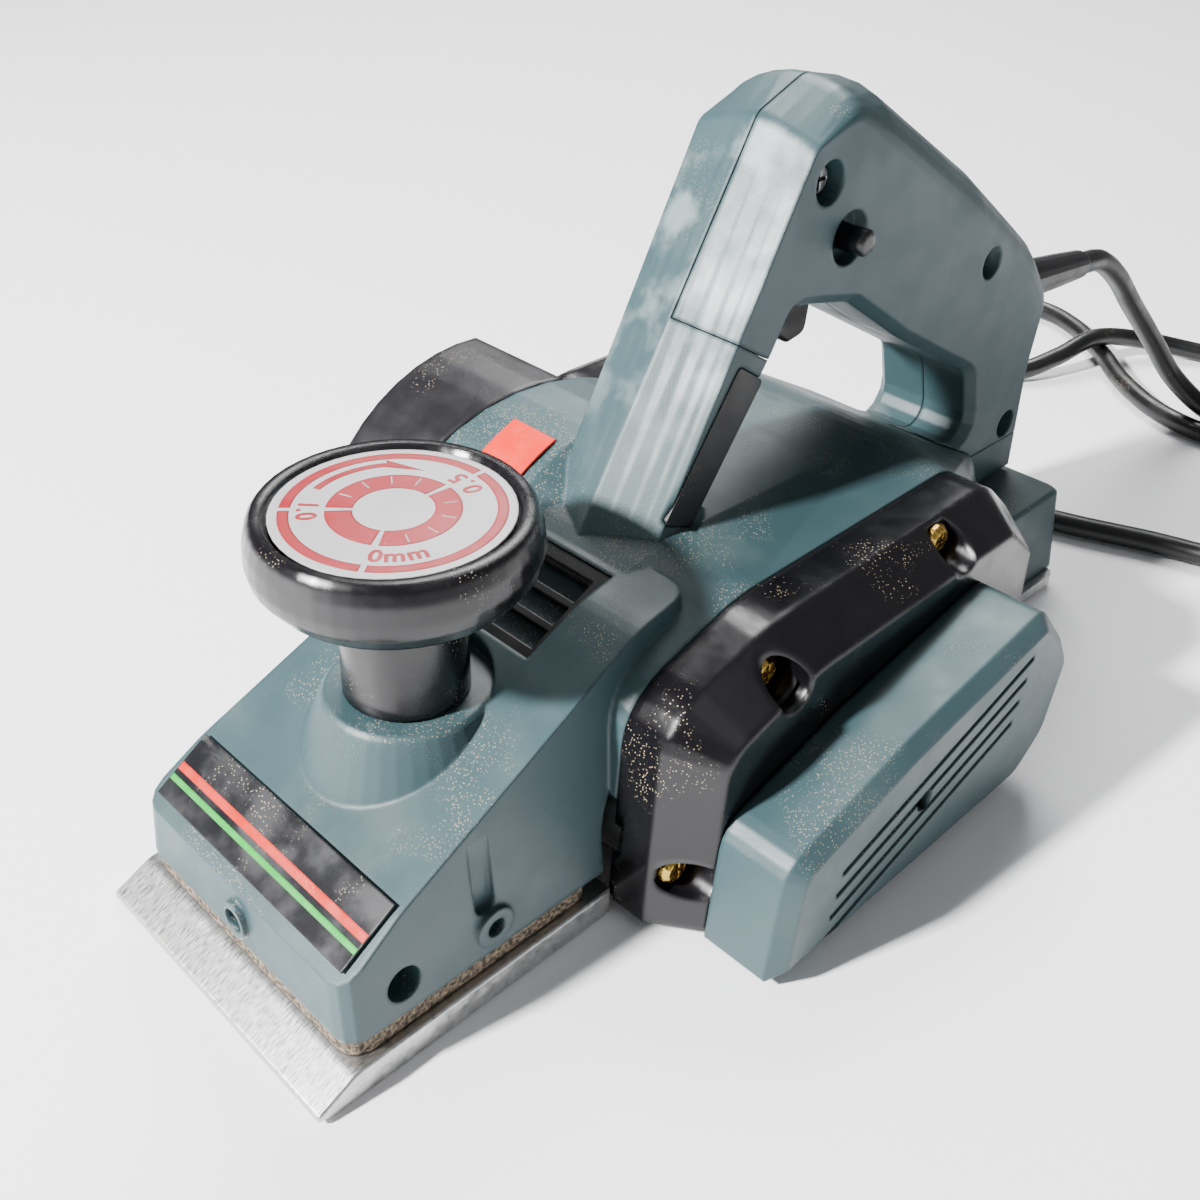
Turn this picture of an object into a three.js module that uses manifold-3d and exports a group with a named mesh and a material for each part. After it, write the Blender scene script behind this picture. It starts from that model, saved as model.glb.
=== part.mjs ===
// Electric hand planer, 82 mm cut: front shoe set by the knob, fixed rear sole, cross-mounted motor
// driving the cutter drum by a belt on the left side.
// Millimetres. +X is the planing direction, +Y is the belt side (left), +Z is up.
// The origin is the centre of the rear sole's underside, so both soles lie on z = 0.
import * as THREE from 'three';
import { mergeVertices } from 'three/addons/utils/BufferGeometryUtils.js';
import Module from 'manifold-3d';

const wasm = await Module();
wasm.setup();

// ---------------------------------------------------------------- driving dimensions
const GAP = 0.3; // clearance between neighbours that touch
const RUN = 1.0; // clearance round what turns

const SOLE_HALF_WIDTH = 41.25;
const REAR_SOLE_LENGTH = 176;
const REAR_SOLE_THICK = 5;
const FRONT_SOLE_LENGTH = 82;
const FRONT_SOLE_THICK = 7.7;
const FRONT_TIP_THICK = 2.2;
const MOUTH_GAP = 27; // between the two soles, under the drum

const SEAL_HEIGHT = 4.7;
const NOSE_OVERHANG = 9.9; // shoe showing ahead of the nose
const NOSE_HALF_WIDTH = 39.6;
const NOSE_DRAFT = 0.11; // half width lost per mm of height
const NOSE_FACE_TOP = 29;

const CUT_RADIUS = 22; // circle of the blade tips
const DRUM_RADIUS = 20.3;
const BLADE_THICK = 1.2;
const CUTTER_SHAFT_RADIUS = 5;
const CUTTER_PULLEY_RADIUS = 9.5;

const MOTOR_BACK = 68; // motor axis behind the cutter axis
const MOTOR_RISE = 33; // motor axis above the soles
const STATOR_RADIUS = 25;
const ARMATURE_RADIUS = 15.6;
const MOTOR_SHAFT_RADIUS = 4;
const DRIVE_PULLEY_RADIUS = 12.5;
const BELT_THICK = 2;

const COVER_SEAM = 40; // plane where the left cover meets the housing
const COVER_SHOULDER = 11; // straight part of the cover's rim
const COVER_FACE = 63; // plane of the cover's outer face
const COVER_WALL = 3;
const BELT_FACE = 84; // plane of the belt cover's outer face
const BELT_WALL = 2.4;

const CHUTE_RADIUS = 53;
const CHUTE_CENTRE_X = 57;
const CHUTE_CENTRE_Z = 34.5;
const CHUTE_REACH = 79; // how far right the chute ends
const CHUTE_WALL = 2.6;
const CHUTE_FLOOR = 37;
const CHUTE_BACK = 52; // rear edge of the chute, open towards the back
const RIGHT_WALL = 43; // plane of the housing's right side

const KNOB_X = 138.7;
const KNOB_RADIUS = 30.5;
const KNOB_TOP = 102.4;
const KNOB_NECK_RADIUS = 14;
const DIAL_RADIUS = 24.8;
const BOSS_TOP_RADIUS = 19;
const BOSS_BASE_RADIUS = 27;
const BOSS_TOP = 57.5;
const SCREW_RADIUS = 4; // M8 depth screw

const HANDLE_HALF = 17; // half the thickness of the handle
const CORD_RADIUS = 3.75;

// ---------------------------------------------------------------- places that follow from them
const rearSoleFront = REAR_SOLE_LENGTH / 2;
const rearSoleBack = -REAR_SOLE_LENGTH / 2;
const frontSoleBack = rearSoleFront + MOUTH_GAP;
const frontTip = frontSoleBack + FRONT_SOLE_LENGTH;
const noseFront = frontTip - NOSE_OVERHANG;
const sealBottom = FRONT_SOLE_THICK + GAP;
const noseBottom = sealBottom + SEAL_HEIGHT + GAP;
const cutterX = rearSoleFront + 3;
const cutterZ = CUT_RADIUS;
const motorX = cutterX - MOTOR_BACK;
const motorZ = MOTOR_RISE;
const housingFloor = REAR_SOLE_THICK + GAP;
const drumHalf = SOLE_HALF_WIDTH - 0.25;

const teal = { color: 0x587c80, roughness: 0.45, metalness: 0.0 };
const black = { color: 0x121113, roughness: 0.3, metalness: 0.0 };
const softBlack = { color: 0x1c1b1c, roughness: 0.6, metalness: 0.0 };
const rubber = { color: 0x141414, roughness: 0.7, metalness: 0.0 };
const aluminium = { color: 0xc4c4c2, roughness: 0.35, metalness: 1.0 };
const steel = { color: 0x9a9a9a, roughness: 0.3, metalness: 1.0 };
const brass = { color: 0xc8a550, roughness: 0.35, metalness: 1.0 };
const copper = { color: 0xa85f32, roughness: 0.4, metalness: 1.0 };

// ---------------------------------------------------------------- solids and booleans
function solid(geometry) {
  const bare = geometry.clone();
  bare.deleteAttribute('normal');
  bare.deleteAttribute('uv');
  const merged = mergeVertices(bare, 1e-4);
  return new wasm.Manifold(new wasm.Mesh({
    numProp: 3,
    vertProperties: Float32Array.from(merged.attributes.position.array),
    triVerts: Uint32Array.from(merged.index.array),
  }));
}

function geometryOf(body) {
  const mesh = body.getMesh();
  const geometry = new THREE.BufferGeometry();
  geometry.setAttribute('position', new THREE.BufferAttribute(new Float32Array(mesh.vertProperties), 3));
  geometry.setIndex(new THREE.BufferAttribute(new Uint32Array(mesh.triVerts), 1));
  return geometry;
}

function union(...bodies) {
  return bodies.reduce((all, body) => all.add(body));
}

function cut(body, ...tools) {
  return tools.reduce((rest, tool) => rest.subtract(tool), body);
}

// Outline with rounded corners: each corner is [a, b, radius].
function rounded(corners, steps = 4) {
  const points = [];
  corners.forEach(([a, b, radius = 0], index) => {
    const here = new THREE.Vector2(a, b);
    const last = corners[(index + corners.length - 1) % corners.length];
    const next = corners[(index + 1) % corners.length];
    const back = new THREE.Vector2(last[0], last[1]).sub(here).normalize();
    const ahead = new THREE.Vector2(next[0], next[1]).sub(here).normalize();
    const half = Math.acos(THREE.MathUtils.clamp(back.dot(ahead), -1, 1)) / 2;
    if (radius === 0 || half > Math.PI / 2 - 0.01) {
      for (let step = 0; step <= (radius === 0 ? 0 : steps); step += 1) {
        const slide = radius === 0 ? 0 : 0.2 * (step / steps - 0.5);
        points.push(here.clone().addScaledVector(slide < 0 ? back : ahead, Math.abs(slide)));
      }
      return;
    }
    const reach = radius / Math.tan(half);
    const centre = here.clone().addScaledVector(back.clone().add(ahead).normalize(), radius / Math.sin(half));
    const start = here.clone().addScaledVector(back, reach).sub(centre);
    const end = here.clone().addScaledVector(ahead, reach).sub(centre);
    const turn = Math.atan2(start.cross(end), start.dot(end));
    for (let step = 0; step <= steps; step += 1) {
      points.push(start.clone().rotateAround(new THREE.Vector2(), (turn * step) / steps).add(centre));
    }
  });
  return points;
}

function circle(x, z, radius, steps = 24) {
  return Array.from({ length: steps }, (_, step) => {
    const angle = (2 * Math.PI * step) / steps;
    return new THREE.Vector2(x + radius * Math.cos(angle), z + radius * Math.sin(angle));
  });
}

// The same outline moved inwards by a distance, corner by corner.
function inset(outline, distance) {
  if (distance === 0) return outline;
  const turn = Math.sign(THREE.ShapeUtils.area(outline));
  return outline.map((point, index) => {
    const last = outline[(index + outline.length - 1) % outline.length];
    const next = outline[(index + 1) % outline.length];
    const into = point.clone().sub(last).normalize();
    const out = next.clone().sub(point).normalize();
    const normal = new THREE.Vector2(-into.y - out.y, into.x + out.x).multiplyScalar(turn).normalize();
    const lean = Math.max(0.5, normal.dot(new THREE.Vector2(-into.y, into.x).multiplyScalar(turn)));
    return point.clone().addScaledVector(normal, distance / lean);
  });
}

// Outline drawn from corners as a function of how far it is moved inwards; its roundings follow.
function outlineOf(corners, steps) {
  return (into = 0) => {
    const points = corners.map(([a, b]) => new THREE.Vector2(a, b));
    const turn = Math.sign(THREE.ShapeUtils.area(points));
    return rounded(inset(points, into).map((point, index) => {
      const last = points[(index + points.length - 1) % points.length];
      const next = points[(index + 1) % points.length];
      const bend = turn * points[index].clone().sub(last).cross(next.clone().sub(points[index]));
      const radius = corners[index][2] || 0;
      return [point.x, point.y, radius === 0 ? 0 : Math.max(0.3, radius - Math.sign(bend) * into)];
    }), steps);
  };
}

// Triangles of a cap. The outline is nudged by a hair, so that a point on a straight edge keeps its place.
function capOf(outline) {
  const nudged = outline.map((point, index) => new THREE.Vector2(
    point.x + 1e-4 * Math.sin(12.9 * index), point.y + 1e-4 * Math.sin(78.2 * index + 1)));
  return THREE.ShapeUtils.triangulateShape(nudged, []);
}

// Skin over a row of rings with equal point counts, capped at both ends.
function skin(given, flat) {
  const clockwise = THREE.ShapeUtils.area(given[0].map(flat)) < 0;
  const rings = clockwise ? given.map((ring) => [...ring].reverse()) : given;
  const count = rings[0].length;
  const positions = rings.flat().flatMap((point) => [point.x, point.y, point.z]);
  const faces = [];
  for (let ring = 0; ring + 1 < rings.length; ring += 1) {
    for (let step = 0; step < count; step += 1) {
      const a = ring * count + step;
      const b = ring * count + ((step + 1) % count);
      faces.push(a, b, a + count, b, b + count, a + count);
    }
  }
  const last = (rings.length - 1) * count;
  for (const [i, j, k] of capOf(rings[0].map(flat))) faces.push(k, j, i);
  for (const [i, j, k] of capOf(rings.at(-1).map(flat))) faces.push(last + i, last + j, last + k);
  const geometry = new THREE.BufferGeometry();
  geometry.setAttribute('position', new THREE.Float32BufferAttribute(positions, 3));
  geometry.setIndex(faces);
  let volume = 0;
  const corner = (index) => new THREE.Vector3().fromArray(positions, 3 * index);
  for (let face = 0; face < faces.length; face += 3) {
    volume += corner(faces[face]).dot(corner(faces[face + 1]).cross(corner(faces[face + 2])));
  }
  if (volume < 0) geometry.setIndex(faces.reverse());
  return solid(geometry);
}

// Body whose outline lies in XZ: levels are [y, outline].
function across(levels) {
  const rings = levels.map(([y, outline]) => outline.map((point) => new THREE.Vector3(point.x, y, point.y)));
  return skin(rings, (point) => new THREE.Vector2(point.x, point.z));
}

// Straight body between two y planes, its long edges eased by a chamfer.
function slab(outline, y0, y1, ease = 0) {
  if (ease === 0) return across([[y0, outline], [y1, outline]]);
  const small = inset(outline, ease);
  return across([[y0, small], [y0 + ease, outline], [y1 - ease, outline], [y1, small]]);
}

// Body whose outline lies in XY: levels are [z, outline].
function upward(levels) {
  const rings = levels.map(([z, outline]) => outline.map((point) => new THREE.Vector3(point.x, point.y, z)));
  return skin(rings, (point) => new THREE.Vector2(point.x, point.y));
}

function box(x0, x1, y0, y1, z0, z1) {
  const geometry = new THREE.BoxGeometry(x1 - x0, y1 - y0, z1 - z0);
  geometry.translate((x0 + x1) / 2, (y0 + y1) / 2, (z0 + z1) / 2);
  return solid(geometry);
}

// Round body about a Y axis through (x, z): profile is [radius, y].
function turned(x, z, profile, steps = 28) {
  const geometry = new THREE.LatheGeometry(profile.map(([r, y]) => new THREE.Vector2(r, y)), steps);
  return solid(geometry).translate([x, 0, z]);
}

function rod(x, z, radius, y0, y1, steps = 28) {
  return turned(x, z, [[0, y0], [radius, y0], [radius, y1], [0, y1]], steps);
}

function ringAcross(x, z, outer, inner, y0, y1, steps = 28) {
  return turned(x, z, [[inner, y0], [outer, y0], [outer, y1], [inner, y1], [inner, y0]], steps);
}

// Round body about the Z axis through (x, y): profile is [radius, z].
function spun(x, y, profile, steps = 36) {
  const geometry = new THREE.LatheGeometry(profile.map(([r, z]) => new THREE.Vector2(r, z)), steps);
  geometry.rotateX(Math.PI / 2);
  return solid(geometry).translate([x, y, 0]);
}

function rectangle(x0, x1, half, radius, steps = 3) {
  return rounded([[x0, -half, radius], [x1, -half, radius], [x1, half, radius], [x0, half, radius]], steps);
}

const planer = new THREE.Group();

function add(name, body, finish) {
  const mesh = new THREE.Mesh(geometryOf(body), new THREE.MeshStandardMaterial(finish));
  mesh.name = name;
  planer.add(mesh);
}

// ---------------------------------------------------------------- soles and seal
const drumSweep = rod(cutterX, cutterZ, CUT_RADIUS + RUN, -SOLE_HALF_WIDTH - 1, SOLE_HALF_WIDTH + 1, 40);

function rearBase() {
  const plate = upward([
    [0, rectangle(rearSoleBack, rearSoleFront, SOLE_HALF_WIDTH - 0.8, 3)],
    [0.8, rectangle(rearSoleBack, rearSoleFront, SOLE_HALF_WIDTH, 3)],
    [REAR_SOLE_THICK, rectangle(rearSoleBack, rearSoleFront, SOLE_HALF_WIDTH, 3)],
  ]);
  return cut(plate, drumSweep);
}

// The shoe is a plate whose nose thins to a rounded tip, with the V groove that guides chamfer cuts.
const shoePostRadius = 9;
const shoePostTop = noseBottom + 20;
function frontBase() {
  const side = rounded([
    [frontSoleBack, 0], [frontTip - 4, 0, 6], [frontTip, 1.2, 0.6], [frontTip - 0.4, FRONT_TIP_THICK + 0.6, 0.8],
    [noseFront - 0.4, FRONT_SOLE_THICK, 7], [frontSoleBack, FRONT_SOLE_THICK],
  ]);
  const plate = slab(side, -SOLE_HALF_WIDTH, SOLE_HALF_WIDTH, 0.5);
  const groove = slab([
    new THREE.Vector2(frontSoleBack - 1, -1), new THREE.Vector2(frontTip + 1, -1),
    new THREE.Vector2(frontTip + 1, 0.8), new THREE.Vector2(frontSoleBack - 1, 0.8),
  ], -2, 2);
  const post = spun(KNOB_X, 0, [
    [0, FRONT_SOLE_THICK - 1], [shoePostRadius, FRONT_SOLE_THICK - 1], [shoePostRadius, shoePostTop],
    [SCREW_RADIUS + GAP, shoePostTop], [SCREW_RADIUS + GAP, FRONT_SOLE_THICK + 4], [0, FRONT_SOLE_THICK + 4],
  ], 24);
  return union(cut(plate, groove), post);
}

const sealInset = 0.7;
function noseSeal() {
  const outer = rectangle(frontSoleBack + 4, noseFront - sealInset, NOSE_HALF_WIDTH - sealInset, 5);
  const inner = rectangle(frontSoleBack + 10, noseFront - 7, NOSE_HALF_WIDTH - 7, 2);
  const top = sealBottom + SEAL_HEIGHT;
  return cut(upward([[sealBottom, outer], [top, outer]]), upward([[sealBottom - 1, inner], [top + 1, inner]]));
}

// ---------------------------------------------------------------- outlines of the moulded housing
// Left side: upright front, rounded shoulder, long flat back. Shared by the housing and the side cover.
const coverFront = frontSoleBack - GAP;
const coverBottom = REAR_SOLE_THICK + GAP;
const leftSide = (bottom) => outlineOf([
  [coverFront, bottom, 0.5], [coverFront - 3.2, 60.5, 17], [coverFront - 38, 71.5, 45],
  [coverFront - 122, 72.8, 14], [coverFront - 139, 58, 12], [coverFront - 144, bottom, 3],
], 5);
const coverRim = leftSide(coverBottom);
const COVER_HEM = 4;
const coverSkirt = (into) => leftSide(COVER_HEM - into)(into);

// Middle: nose slope, crest under the handle, long fall to the tail.
const noseSlopeFoot = NOSE_FACE_TOP + 36;
const spine = outlineOf([
  [coverFront, housingFloor, 0.5], [coverFront - 5, noseSlopeFoot, 6], [coverFront - 34, 76.6, 45],
  [coverFront - 127, 73.5, 45], [rearSoleBack + 26, 47, 14], [rearSoleBack + 4, housingFloor, 3],
], 5);

// Right side: the chip duct swells into a round hood.
function ductOutline(wall = 0, low = CHUTE_FLOOR, back = CHUTE_BACK) {
  const radius = CHUTE_RADIUS - wall;
  const steps = 12;
  const points = [];
  const floor = low + wall;
  const start = Math.asin(Math.max(0, floor - CHUTE_CENTRE_Z) / radius);
  const end = Math.acos((back + wall - CHUTE_CENTRE_X) / radius);
  for (let step = 0; step <= steps; step += 1) {
    const angle = start + ((end - start) * step) / steps;
    points.push(new THREE.Vector2(
      CHUTE_CENTRE_X + radius * Math.cos(angle), CHUTE_CENTRE_Z + radius * Math.sin(angle)));
  }
  points.push(new THREE.Vector2(back + wall, floor));
  if (start === 0) points.push(new THREE.Vector2(CHUTE_CENTRE_X + radius, floor));
  return points;
}

// The seam of the chute leans out to the right towards the front.
function seamCut(offset) {
  const lean = Math.atan(0.2);
  return box(-100, 200, -200, 0, -50, 200).rotate([0, 0, -THREE.MathUtils.radToDeg(lean)])
    .translate([CHUTE_CENTRE_X, -RIGHT_WALL - 0.8 - offset, 0]);
}

function nose() {
  const level = (z) => [z, rectangle(coverFront - 30, noseFront - (z - noseBottom) * 0.06,
    NOSE_HALF_WIDTH - (z - noseBottom) * NOSE_DRAFT, 5)];
  const walls = upward([level(noseBottom), level(90)]);
  const side = rounded([
    [coverFront - 40, noseBottom], [noseFront + 5, noseBottom], [noseFront + 1, NOSE_FACE_TOP - 2.4],
    [noseFront - 16.5, NOSE_FACE_TOP + 9, 30], [coverFront - 13, NOSE_FACE_TOP + 41.5, 30], [coverFront - 40, 76],
  ], 3);
  return walls.intersect(slab(side, -60, 60));
}

// ---------------------------------------------------------------- handle
const legFrontFoot = [90, 70];
// Each corner of the handle's outline on the middle plane, and on its flat sides, with its radius.
const handleCorners = [
  [[92, 62], [85, 62], 0], [[legFrontFoot[0] - 1, legFrontFoot[1] + 1], [80, 73], 6], [[34.5, 161], [34, 156.5], 5],
  [[19, 167.2], [19.5, 160.5], 8], [[5, 164.3], [4, 151.2], 14], [[-42, 137], [-44, 122.5], 60],
  [[-78, 112.5], [-79, 99], 25], [[-93.2, 95], [-89, 88], 9], [[-88.5, 70], [-86.5, 68], 30],
  [[-88.5, 34], [-89, 34], 0], [[-30, 34], [-30, 34], 0], [[20, 60], [20, 60], 0],
];
const STRAIGHT_CORNERS = 3;

// The outline at a distance y from the middle: the leg's front falls back in a straight slope, and the
// grip's top falls along a quarter ellipse.
function handleSection(y) {
  const slope = Math.abs(y) / HANDLE_HALF;
  const crown = 1 - Math.sqrt(Math.max(0, 1 - slope * slope));
  return outlineOf(handleCorners.map(([middle, side, radius], index) => {
    const part = index < STRAIGHT_CORNERS ? slope : crown;
    return [THREE.MathUtils.lerp(middle[0], side[0], part), THREE.MathUtils.lerp(middle[1], side[1], part), radius];
  }), 4)();
}
const handleHole = outlineOf([
  [66, 75, 5], [40.5, 110.5, 4], [35, 120, 3], [26, 118.5, 4], [11, 115, 6], [-14, 98.5, 40],
  [-53.5, 76.5, 9], [-62, 49, 6], [-35, 61, 20], [12, 74.5, 40],
], 4);
const leg = { front: [[92, 66], [34.5, 161]], cutAt: [58, 119] };

function handleBody() {
  const places = [0, 5, 9.5, 13, 15.4, 16.6, HANDLE_HALF];
  const rings = [...places.slice(1).reverse().map((y) => -y), ...places].map((y) => [y, handleSection(y)]);
  const hole = across([
    [-HANDLE_HALF - 1, handleHole(-4)], [-HANDLE_HALF + 3, handleHole()],
    [HANDLE_HALF - 3, handleHole()], [HANDLE_HALF + 1, handleHole(-4)],
  ]);
  return cut(across(rings), hole);
}

// The left shell of the handle starts at a joint across the leg and runs back to the rear leg's foot.
function coverRegion(offset) {
  const legLean = Math.atan2(leg.front[1][1] - leg.front[0][1], leg.front[1][0] - leg.front[0][0]);
  const above = box(-80, 80, 0, 60, 0, 200)
    .rotate([0, -THREE.MathUtils.radToDeg(legLean - Math.PI / 2), 0])
    .translate([leg.cutAt[0], offset, leg.cutAt[1] + offset]);
  const behind = box(-140, 30, offset, 60, 40, 200);
  const clear = box(-140, 5, offset, 60, 46 + offset, 200);
  return union(above.intersect(box(-140, 120, 0, 60, 90, 200)), behind.intersect(clear));
}

const TRIGGER_TRAVEL = 5;
const triggerBox = { x: [12.5, 28], z: [104, 122], half: 5.5 };
const switchBox = { x: [-14, 21], z: [triggerBox.z[1] + TRIGGER_TRAVEL + 1, 144], half: 8 };
const lockPlace = [17.6, 133.2];
const handleScrews = [
  { name: 'handle_screw_top', x: 28, z: 148, radius: 5.2 },
  { name: 'handle_screw_grip', x: -52, z: 110, radius: 4.6 },
  { name: 'handle_screw_leg', x: -80.5, z: 51.4, radius: 4.6 },
];

function handleCavities() {
  const room = GAP + 0.1;
  const [x0, x1] = switchBox.x;
  const [z0, z1] = switchBox.z;
  const switchRoom = box(x0 - room, x1 + room, -switchBox.half - room, switchBox.half + room, z0 - room, z1 + room);
  const triggerRoom = box(triggerBox.x[0] - room, triggerBox.x[1] + room, -triggerBox.half - room,
    triggerBox.half + room, triggerBox.z[0] - 6, switchBox.z[0] + room);
  const lockBore = rod(lockPlace[0], lockPlace[1], 3.2 + room, switchBox.half - 1, 40, 18);
  const lockRecess = rod(lockPlace[0], lockPlace[1], 6.6, HANDLE_HALF - 4, 40, 24);
  const wells = handleScrews.map(({ x, z, radius }) => union(
    rod(x, z, radius, HANDLE_HALF - 6, 40, 20), rod(x, z, 1.7 + room, -9, 40, 14)));
  return union(switchRoom, triggerRoom, lockBore, lockRecess, ...wells);
}

// ---------------------------------------------------------------- housing
const bossLean = 8;
function boss() {
  return spun(KNOB_X, 0, [
    [0, noseBottom + 2], [BOSS_BASE_RADIUS + 3, noseBottom + 2], [BOSS_BASE_RADIUS, NOSE_FACE_TOP + bossLean],
    [BOSS_TOP_RADIUS + 2.6, BOSS_TOP - 7], [BOSS_TOP_RADIUS, BOSS_TOP - 1], [BOSS_TOP_RADIUS - 1, BOSS_TOP],
    [0, BOSS_TOP],
  ], 40);
}

const windowLean = 26;
const windowPlace = [coverFront - 10, 66.5];
const windowSize = { length: 27, half: 16, depth: 5 };
function windowRecess(room) {
  const { length, half, depth } = windowSize;
  return box(-length / 2 - room, length / 2 + room, -half - room, half + room, -depth - room, 14)
    .rotate([0, windowLean, 0]).translate([windowPlace[0], 0, windowPlace[1]]);
}

const noseHoles = [[172.2, 20.6, 4.2], [148.3, 19.4, 2.4]];
function noseCuts() {
  const slot = slab(rounded([[147.2, 24, 2.8], [152.8, 24, 2.8], [152.8, 51, 2.8], [147.2, 51, 2.8]], 4), 36.2, 50);
  const holes = noseHoles.map(([x, z, radius]) => rod(x, z, radius, 33, 50, 24));
  const face = rod(0, 0, 3, 0, 12, 20).rotate([0, 0, -90]).translate([noseFront - 5, 0, 19.8]);
  const guidePocket = upward([
    [noseBottom - 2, rectangle(KNOB_X - 22, KNOB_X + 26, 30, 4)], [noseBottom + 3, rectangle(KNOB_X - 22, KNOB_X + 26, 30, 4)],
  ]);
  const springPocket = spun(KNOB_X, 0, [
    [0, noseBottom - 2], [shoePostRadius + 4.5, noseBottom - 2], [shoePostRadius + 4.5, shoePostTop + 6],
    [SCREW_RADIUS + GAP, shoePostTop + 6], [SCREW_RADIUS + GAP, BOSS_TOP + 5], [0, BOSS_TOP + 5],
  ], 28);
  const knobSeat = spun(KNOB_X, 0, [
    [0, BOSS_TOP - 4.4], [KNOB_NECK_RADIUS - 1.4, BOSS_TOP - 4.4], [KNOB_NECK_RADIUS - 1.4, BOSS_TOP],
    [BOSS_TOP_RADIUS, BOSS_TOP], [BOSS_TOP_RADIUS, 90], [0, 90],
  ]);
  return union(slot, ...holes, face, guidePocket, springPocket, knobSeat);
}

const noseRings = noseHoles.slice(1).map(([x, z, radius]) => [x, z, radius + 2.6]);
function housing() {
  const hump = across([
    [-RIGHT_WALL, spine(2)], [-RIGHT_WALL + 2, spine()], [HANDLE_HALF + 1, spine()],
    [COVER_SEAM - GAP, leftSide(housingFloor)()],
  ]);
  const duct = cut(across([
    [-70, ductOutline(0, noseBottom, 30)], [-19, ductOutline(0, noseBottom, 30)], [2, ductOutline(14, noseBottom - 14, 16)],
  ]), seamCut(0));
  const tailTop = 32.3;
  const tail = upward([
    [housingFloor, rectangle(rearSoleBack - 3.5, 0, 38.7, 3)],
    [tailTop - 1, rectangle(rearSoleBack - 2.9, 0, 35.4, 3)], [tailTop, rectangle(rearSoleBack - 2, 0, 34.4, 3)],
  ]);
  const bosses = noseRings.map(([x, z, radius]) => rod(x, z, radius, 30, 39.7, 24));
  const faceRing = rod(0, 0, 5.2, 0, 6.5, 24).scale([0.75, 1, 1]).rotate([0, 0, -90])
    .translate([noseFront - 5.6, 0, 19.8]);
  const rightHandle = cut(handleBody(), coverRegion(0));
  const bearingBoss = rod(cutterX, cutterZ, 12, -drumHalf - 11, -30, 28);
  const outside = union(nose(), hump, duct, tail, boss(), bearingBoss, faceRing, ...bosses, rightHandle);
  const below = box(coverFront - 3, frontTip + 10, -60, 60, -10, noseBottom);
  const leftTrim = box(-200, 300, COVER_SEAM - GAP, 100, -10, 200);
  const drumRoom = rod(cutterX, cutterZ, CUT_RADIUS + 3, -drumHalf - 1, 60, 40);
  const mouth = box(rearSoleFront - 2, frontSoleBack + 1, -drumHalf - 1, 60, -5, cutterZ);
  const motorRoom = rod(motorX, motorZ, STATOR_RADIUS + GAP, -60, 60, 40);
  const bearingSeat = rod(cutterX, cutterZ, 9.5 + GAP, -drumHalf - 8, 0, 28);
  const shaftHole = rod(cutterX, cutterZ, CUTTER_SHAFT_RADIUS + RUN, -drumHalf - 9.4, 0, 24);
  const ductHollow = across([[-80, ductOutline(4)], [-22, ductOutline(4)]]);
  const throat = slab(rounded([[72, 30, 2], [109, 30, 2], [104, 55, 4], [84, 60, 4]], 3), -drumHalf + 4, 34);
  return cut(outside, below, leftTrim, drumRoom, mouth, motorRoom, bearingSeat, shaftHole, ductHollow, throat,
    noseCuts(), windowRecess(GAP), handleCavities());
}

function handleCover() {
  const shell = cut(handleBody().intersect(coverRegion(GAP)), handleCavities());
  const hump = across([
    [-RIGHT_WALL, spine(-GAP)], [HANDLE_HALF + 1, spine(-GAP)], [COVER_SEAM, coverRim(-GAP)],
  ]);
  return cut(shell, hump);
}

// ---------------------------------------------------------------- left side cover and belt cover
const coverScrews = [[107.8, 18.8], [82.5, 61.3], [17, 67.5]];
const COVER_WELL = 11;
const beltCentres = { front: [cutterX, cutterZ], back: [motorX, motorZ] };

function sideCover() {
  const body = across([
    [COVER_SEAM, coverSkirt(0)], [COVER_SEAM + COVER_SHOULDER, coverSkirt(0)], [COVER_FACE - 0.8, coverSkirt(7.7)],
    [COVER_FACE, coverSkirt(8.5)],
  ]);
  const soleNotch = box(-200, 200, 0, SOLE_HALF_WIDTH + GAP, -10, coverBottom);
  const hollow = across([
    [COVER_SEAM - 1, coverRim(COVER_WALL)], [COVER_SEAM + COVER_SHOULDER - 1, coverRim(COVER_WALL)],
    [COVER_FACE - COVER_WALL, coverRim(8.5 + COVER_WALL)],
  ]);
  const seats = [[beltCentres.front, 11], [beltCentres.back, 11]];
  const bosses = seats.map(([[x, z], radius]) => rod(x, z, radius + 3, COVER_SEAM + 4, COVER_FACE - 1, 28));
  const posts = coverScrews.map(([x, z]) => rod(x, z, 6.4, COVER_SEAM + 3, COVER_FACE - 4, 18));
  const bores = seats.map(([[x, z], radius]) => rod(x, z, radius + GAP, COVER_SEAM, COVER_SEAM + 13.4, 28));
  const passages = [[beltCentres.front, CUTTER_SHAFT_RADIUS], [beltCentres.back, MOTOR_SHAFT_RADIUS]]
    .map(([[x, z], radius]) => rod(x, z, radius + RUN, COVER_SEAM, 90, 24));
  const wells = coverScrews.map(([x, z]) => union(
    rod(x, z, 5.4, COVER_FACE - COVER_WELL, 90, 22), rod(x, z, 2.2 + GAP, COVER_SEAM, 90, 14)));
  const inner = union(cut(body, hollow), union(...bosses, ...posts).intersect(body));
  const sweep = rod(cutterX, cutterZ, CUT_RADIUS + RUN, COVER_SEAM - 10, drumHalf + RUN, 40);
  return cut(inner, sweep, soleNotch, ...bores, ...passages, ...wells);
}

const beltNose = [cutterX + 16.2, 2.5];
const [beltBackX, beltBackZ] = beltCentres.back;
const beltRim = outlineOf([
  [beltNose[0], beltNose[1], 1.5], [beltNose[0] - 3, 36, 9], [beltNose[0] - 43, 47.5, 80],
  [beltBackX - 13.5, beltBackZ + 24.2, 6], [beltBackX - 31.5, beltBackZ + 5, 10], [beltBackX - 28, beltBackZ - 19.5, 12],
  [beltBackX - 16, beltNose[1], 12],
], 4);

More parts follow.
